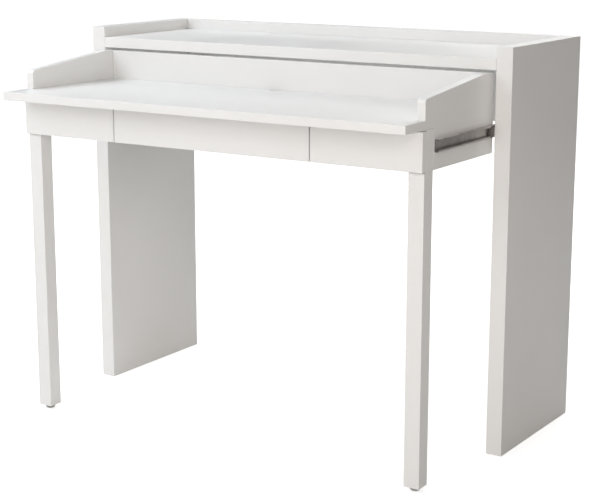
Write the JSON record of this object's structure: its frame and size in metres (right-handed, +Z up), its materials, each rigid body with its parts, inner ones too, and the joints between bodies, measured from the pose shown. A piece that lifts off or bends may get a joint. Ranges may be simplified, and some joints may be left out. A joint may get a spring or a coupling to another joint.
{
  "type": "pull-out writing desk with drawers",
  "caption": "White console with a desk that pulls out on telescopic slides, front drawers without handles, a low gallery around the worktop and a top shelf.",
  "frame": {"origin": "on the floor, at the centre of the footprint with the desk pulled out", "axes": "+X along the width to the right as seen from the seat side, +Y from the seat side to the wall side, +Z up"},
  "size_m": [1.1, 0.712, 0.87],
  "materials": {
    "white_lacquer": "satin white lacquer on board, no grain showing",
    "drawer_white": "matt white foil on board",
    "zinc_steel": "zinc-plated rolled steel sheet",
    "black_plastic": "moulded black plastic",
    "grey_plastic": "moulded light grey plastic"
  },
  "bodies": {
    "carcass": {"carcass_left_side": "white_lacquer", "carcass_right_side": "white_lacquer", "top_shelf": "white_lacquer", "carcass_back_panel": "white_lacquer", "desk_slide_left_carcass_member": "zinc_steel", "desk_slide_left_end_stop": "black_plastic", "desk_slide_right_carcass_member": "zinc_steel", "desk_slide_right_end_stop": "black_plastic"},
    "desk_slide_cages": {"desk_slide_left_ball_cage": "black_plastic", "desk_slide_right_ball_cage": "black_plastic"},
    "desk": {"desktop": "white_lacquer", "desk_left_side": "white_lacquer", "desk_right_side": "white_lacquer", "desk_back": "white_lacquer", "left_divider": "white_lacquer", "right_divider": "white_lacquer", "left_leg": "white_lacquer", "right_leg": "white_lacquer", "left_leg_glide": "grey_plastic", "right_leg_glide": "grey_plastic", "left_runner_spacer": "white_lacquer", "right_runner_spacer": "white_lacquer", "desk_slide_left_desk_member": "zinc_steel", "desk_slide_right_desk_member": "zinc_steel", "drawer_left_left_runner_fixed": "zinc_steel", "drawer_left_right_runner_fixed": "zinc_steel", "drawer_center_left_runner_fixed": "zinc_steel", "drawer_center_right_runner_fixed": "zinc_steel", "drawer_right_left_runner_fixed": "zinc_steel", "drawer_right_right_runner_fixed": "zinc_steel"},
    "drawer_left_cages": {"drawer_left_left_runner_ball_cage": "black_plastic", "drawer_left_right_runner_ball_cage": "black_plastic"},
    "drawer_left": {"drawer_left_front": "white_lacquer", "drawer_left_left_side": "drawer_white", "drawer_left_right_side": "drawer_white", "drawer_left_back": "drawer_white", "drawer_left_bottom": "drawer_white", "drawer_left_left_runner_moving": "zinc_steel", "drawer_left_right_runner_moving": "zinc_steel"},
    "drawer_center_cages": {"drawer_center_left_runner_ball_cage": "black_plastic", "drawer_center_right_runner_ball_cage": "black_plastic"},
    "drawer_center": {"drawer_center_front": "white_lacquer", "drawer_center_left_side": "drawer_white", "drawer_center_right_side": "drawer_white", "drawer_center_back": "drawer_white", "drawer_center_bottom": "drawer_white", "drawer_center_left_runner_moving": "zinc_steel", "drawer_center_right_runner_moving": "zinc_steel"},
    "drawer_right_cages": {"drawer_right_left_runner_ball_cage": "black_plastic", "drawer_right_right_runner_ball_cage": "black_plastic"},
    "drawer_right": {"drawer_right_front": "white_lacquer", "drawer_right_left_side": "drawer_white", "drawer_right_right_side": "drawer_white", "drawer_right_back": "drawer_white", "drawer_right_bottom": "drawer_white", "drawer_right_left_runner_moving": "zinc_steel", "drawer_right_right_runner_moving": "zinc_steel"}
  },
  "joints": [
    {"name": "desk_slide", "type": "slide", "parent": "carcass", "child": "desk", "axis": [0, 1, 0], "range_m": [0, 0.293]},
    {"name": "desk_slide_cage_travel", "type": "slide", "parent": "carcass", "child": "desk_slide_cages", "axis": [0, 1, 0], "range_m": [0, 0.1465]},
    {"name": "drawer_left_slide", "type": "slide", "parent": "desk", "child": "drawer_left", "axis": [0, -1, 0], "range_m": [0, 0.18]},
    {"name": "drawer_center_slide", "type": "slide", "parent": "desk", "child": "drawer_center", "axis": [0, -1, 0], "range_m": [0, 0.18]},
    {"name": "drawer_right_slide", "type": "slide", "parent": "desk", "child": "drawer_right", "axis": [0, -1, 0], "range_m": [0, 0.18]},
    {"name": "drawer_left_cage_travel", "type": "slide", "parent": "desk", "child": "drawer_left_cages", "axis": [0, -1, 0], "range_m": [0, 0.09]},
    {"name": "drawer_center_cage_travel", "type": "slide", "parent": "desk", "child": "drawer_center_cages", "axis": [0, -1, 0], "range_m": [0, 0.09]},
    {"name": "drawer_right_cage_travel", "type": "slide", "parent": "desk", "child": "drawer_right_cages", "axis": [0, -1, 0], "range_m": [0, 0.09]}
  ],
  "couplings": [
    {"joint": "desk_slide_cage_travel", "follows": "desk_slide", "ratio": 0.5},
    {"joint": "drawer_left_cage_travel", "follows": "drawer_left_slide", "ratio": 0.5},
    {"joint": "drawer_center_cage_travel", "follows": "drawer_center_slide", "ratio": 0.5},
    {"joint": "drawer_right_cage_travel", "follows": "drawer_right_slide", "ratio": 0.5}
  ]
}
